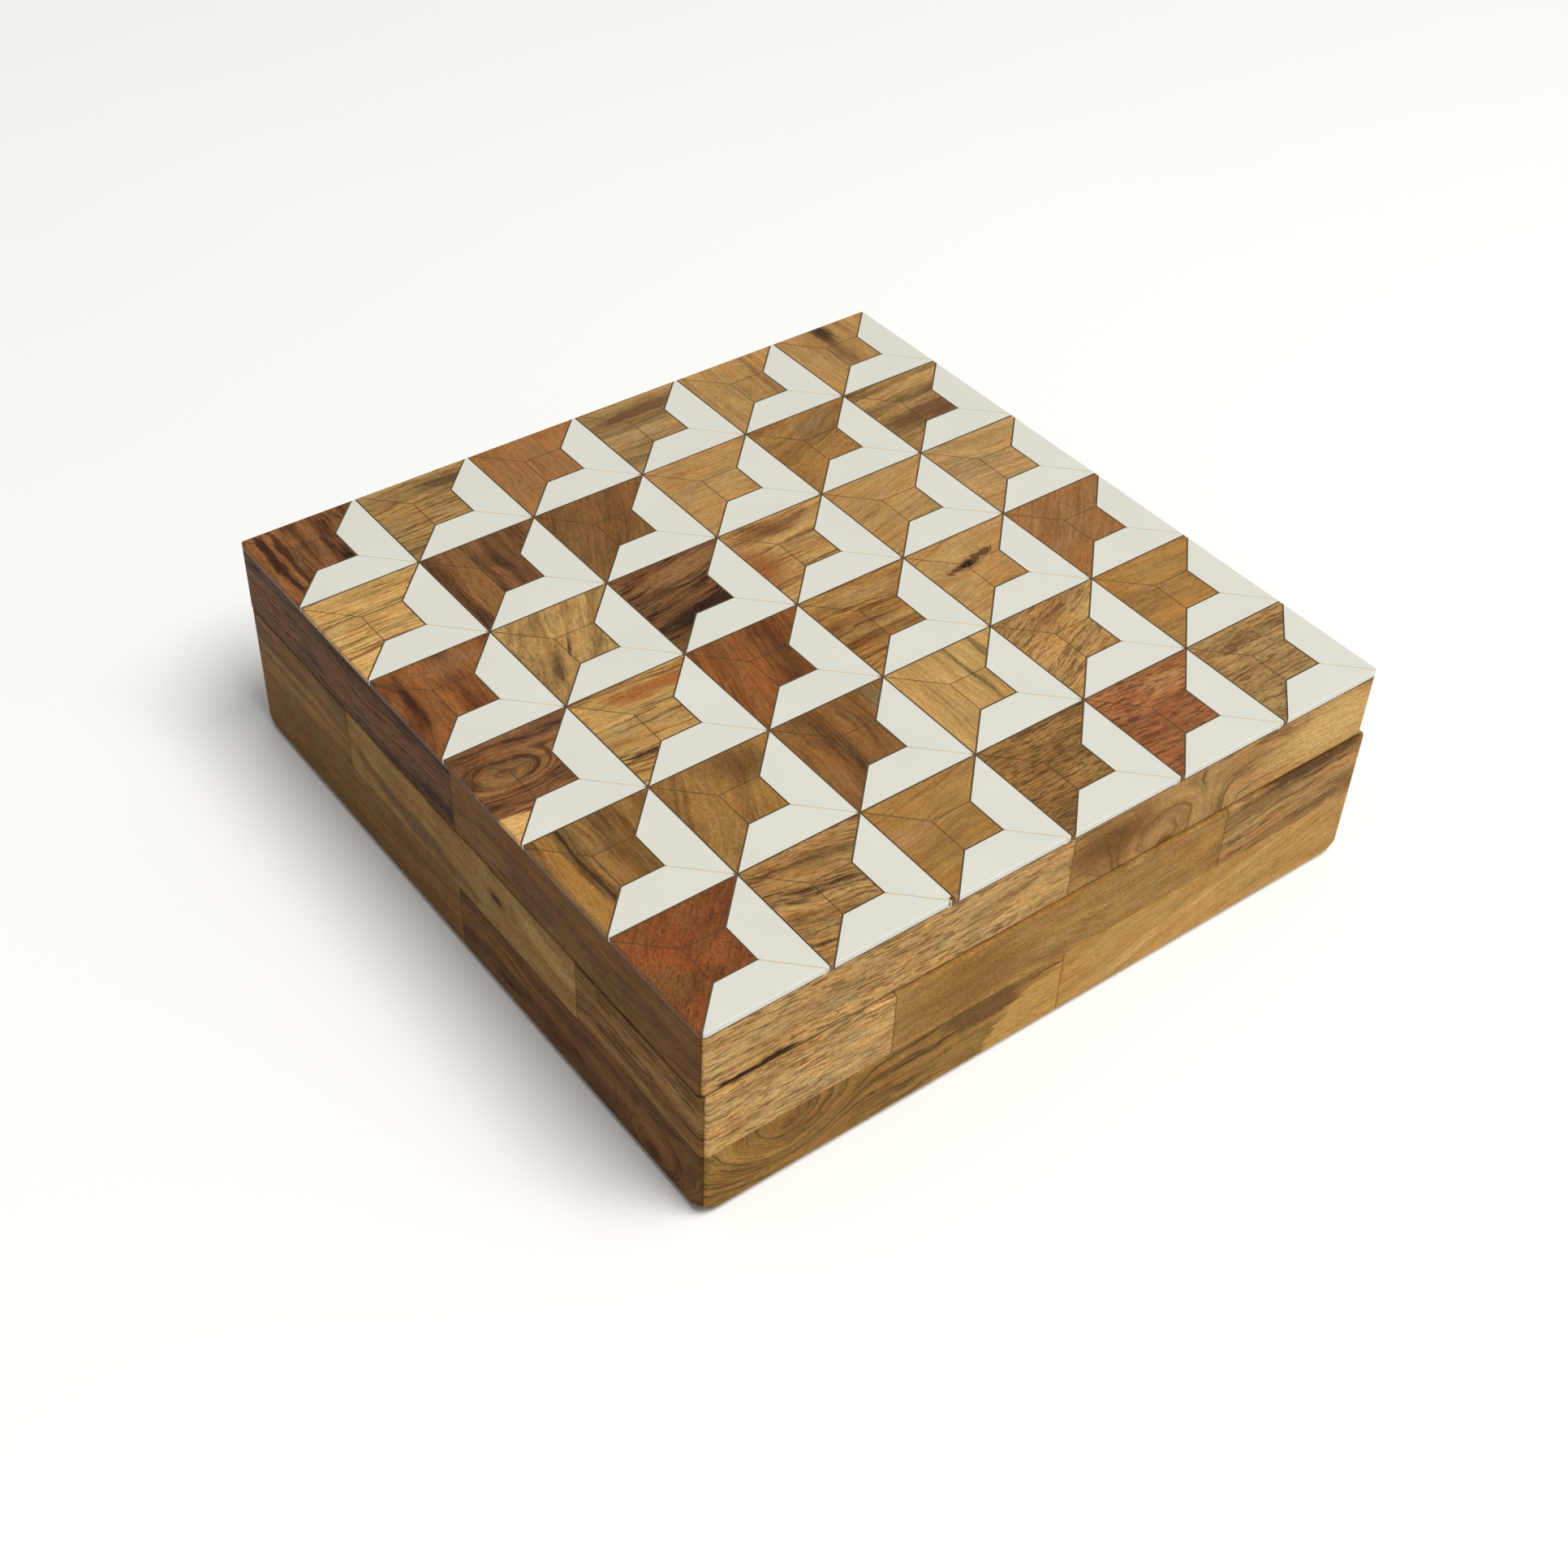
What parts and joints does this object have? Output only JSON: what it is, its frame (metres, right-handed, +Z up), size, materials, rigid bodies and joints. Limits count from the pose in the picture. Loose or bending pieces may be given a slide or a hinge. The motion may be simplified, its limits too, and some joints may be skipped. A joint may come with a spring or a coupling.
{
  "type": "inlaid wooden box",
  "caption": "Square hinged wooden box: brick-laid hardwood staves round the sides, and a lid inlaid with mitred pieces of wood and white resin that read as raised blocks.",
  "frame": {"origin": "centre of the body's square, on the surface that the base felt stands on", "axes": "+Z up; +X along the front edge, to the right for someone facing the front; +Y from the front to the hinges"},
  "size_m": [0.2, 0.2011, 0.0596],
  "materials": {
    "lower_staves": "satin oiled hardwood, several tones",
    "upper_staves": "satin oiled hardwood, several tones",
    "lid_staves": "satin oiled hardwood, several tones",
    "wood_inlay": "satin lacquered hardwood, several tones",
    "white_inlay": "polished bone-like resin",
    "filler": "dark brown filler",
    "core_wood": "plain fibreboard, sealed",
    "felt": "black felt",
    "hinge_brass": "satin brass",
    "pin_brass": "satin brass",
    "screw_brass": "bright brass"
  },
  "bodies": {
    "body": {"base_felt": "felt", "base_panel": "core_wood", "floor_lining": "felt", "body_wall_front": "core_wood", "body_wall_right": "core_wood", "body_wall_back": "core_wood", "body_wall_left": "core_wood", "lower_stave_front_1": "lower_staves", "lower_stave_front_2": "lower_staves", "lower_stave_right_1": "lower_staves", "lower_stave_right_2": "lower_staves", "lower_stave_back_1": "lower_staves", "lower_stave_back_2": "lower_staves", "lower_stave_left_1": "lower_staves", "lower_stave_left_2": "lower_staves", "upper_stave_front_1": "upper_staves", "upper_stave_front_2": "upper_staves", "upper_stave_front_3": "upper_staves", "upper_stave_right_1": "upper_staves", "upper_stave_right_2": "upper_staves", "upper_stave_right_3": "upper_staves", "upper_stave_back_1": "upper_staves", "upper_stave_back_2": "upper_staves", "upper_stave_back_3": "upper_staves", "upper_stave_left_1": "upper_staves", "upper_stave_left_2": "upper_staves", "upper_stave_left_3": "upper_staves", "hinge_body_leaf_left": "hinge_brass", "hinge_pin_left": "pin_brass", "hinge_body_leaf_right": "hinge_brass", "hinge_pin_right": "pin_brass", "body_screws": "screw_brass"},
    "lid": {"hinge_lid_leaf_left": "hinge_brass", "hinge_lid_leaf_right": "hinge_brass", "lid_screws": "screw_brass", "lid_rail_front": "core_wood", "lid_rail_right": "core_wood", "lid_rail_back": "core_wood", "lid_rail_left": "core_wood", "lid_panel": "core_wood", "lid_stave_front_1": "lid_staves", "lid_stave_front_2": "lid_staves", "lid_stave_right_1": "lid_staves", "lid_stave_right_2": "lid_staves", "lid_stave_back_1": "lid_staves", "lid_stave_back_2": "lid_staves", "lid_stave_left_1": "lid_staves", "lid_stave_left_2": "lid_staves", "joint_filler": "filler", "white_front": "white_inlay", "white_right": "white_inlay", "wood_left": "wood_inlay", "wood_back": "wood_inlay", "wood_centre": "wood_inlay"}
  },
  "joints": [
    {"name": "lid_hinge", "type": "hinge", "parent": "body", "child": "lid", "pos_m": [0, 0.0993, 0.0395], "axis": [-1, 0, 0], "range_deg": [0, 105]}
  ]
}
